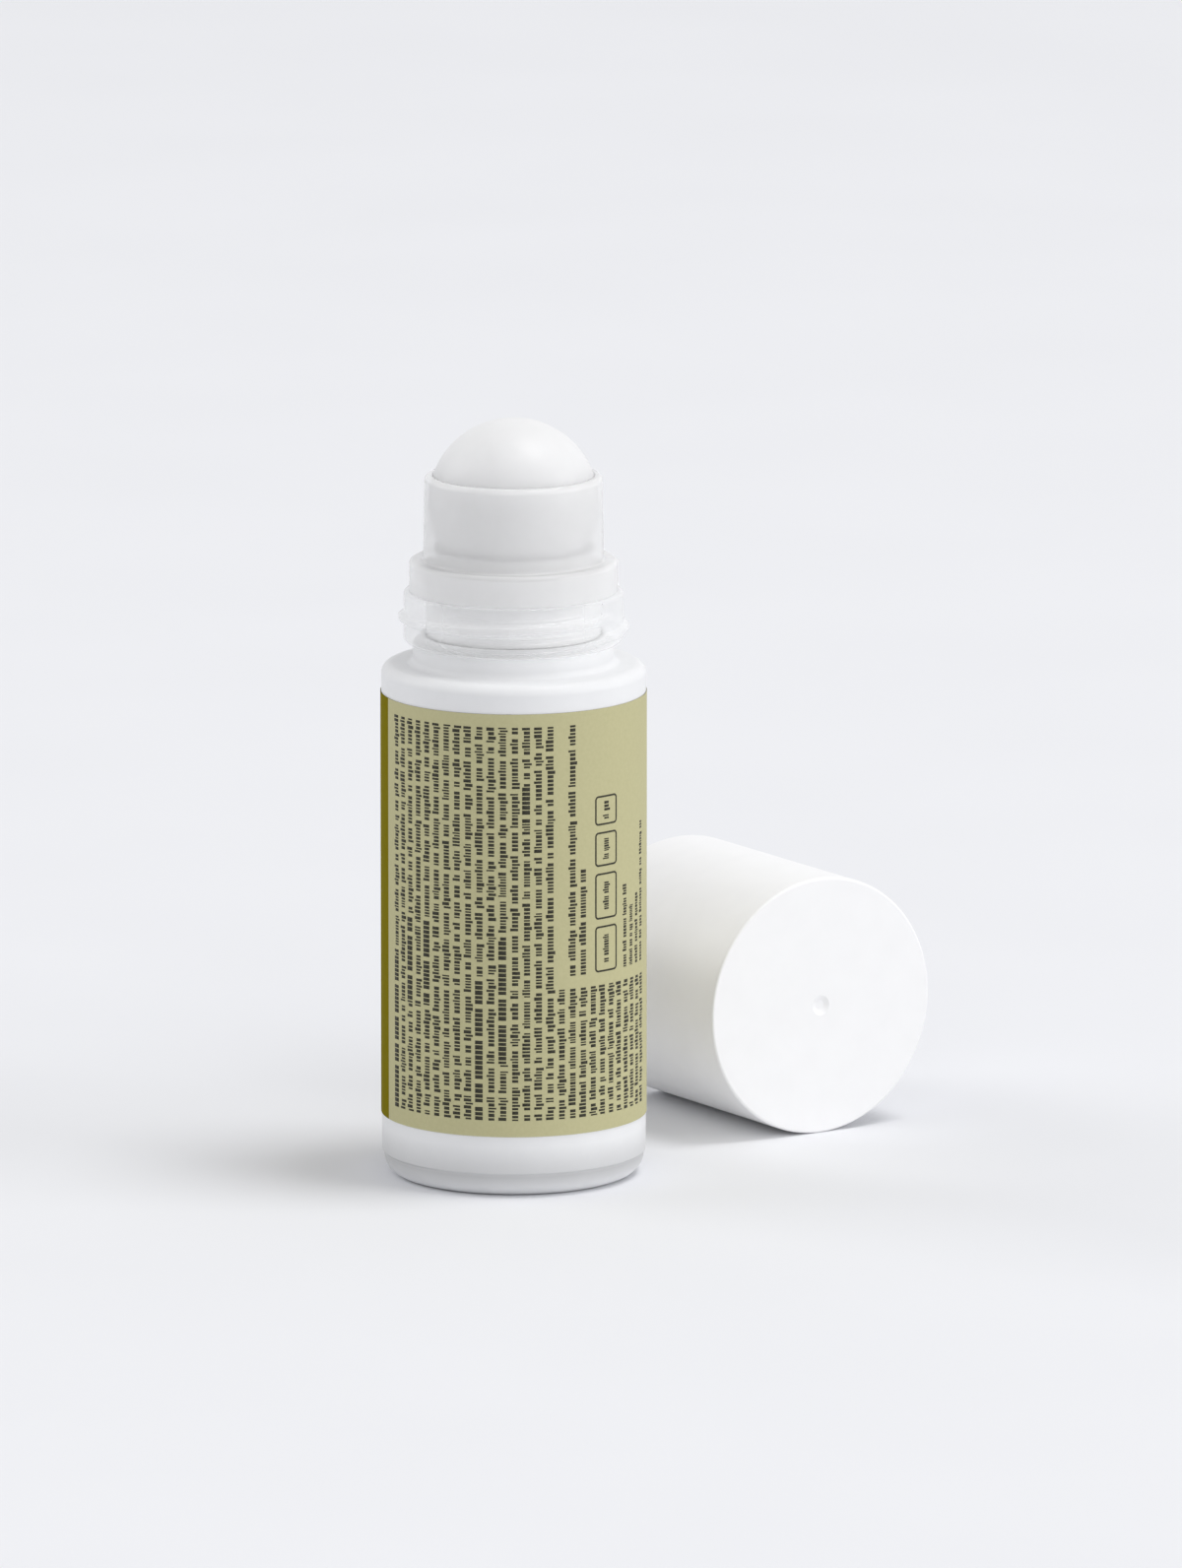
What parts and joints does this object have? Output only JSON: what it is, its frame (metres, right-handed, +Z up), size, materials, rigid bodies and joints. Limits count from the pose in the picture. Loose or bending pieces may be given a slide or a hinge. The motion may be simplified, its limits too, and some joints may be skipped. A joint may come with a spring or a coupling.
{
  "type": "roll-on bottle",
  "caption": "Standing frosted glass roll-on bottle with a wrapped label, a moulded housing that holds a free-turning ball, and its screw cap lying beside it.",
  "frame": {"origin": "centre of the bottle's base, on the surface that it stands on", "axes": "+Z up along the bottle's axis; the cap lies on its side at +X with its axis along Y, its roof facing -Y and its mouth facing +Y"},
  "size_m": [0.0894, 0.0538, 0.1101],
  "materials": {
    "frosted_glass": "frosted body, clear neck",
    "translucent_plastic": "translucent natural polypropylene, satin",
    "ball_plastic": "white, smooth",
    "label_paper": "matte khaki with a dark olive panel",
    "cap_plastic": "white, fine satin"
  },
  "bodies": {
    "bottle": {"glass_bottle": "frosted_glass", "ball_housing": "translucent_plastic", "wrap_label": "label_paper"},
    "ball": {"roller_ball": "ball_plastic"},
    "cap": {"screw_cap": "cap_plastic"}
  },
  "joints": [
    {"name": "ball_roll", "type": "hinge", "parent": "bottle", "child": "ball", "pos_m": [0, 0, 0.0979], "axis": [1, 0, 0], "continuous": true},
    {"name": "cap_lift", "type": "slide", "parent": "bottle", "child": "cap", "axis": [0, 0, 1], "range_m": [0, 0.12]}
  ]
}
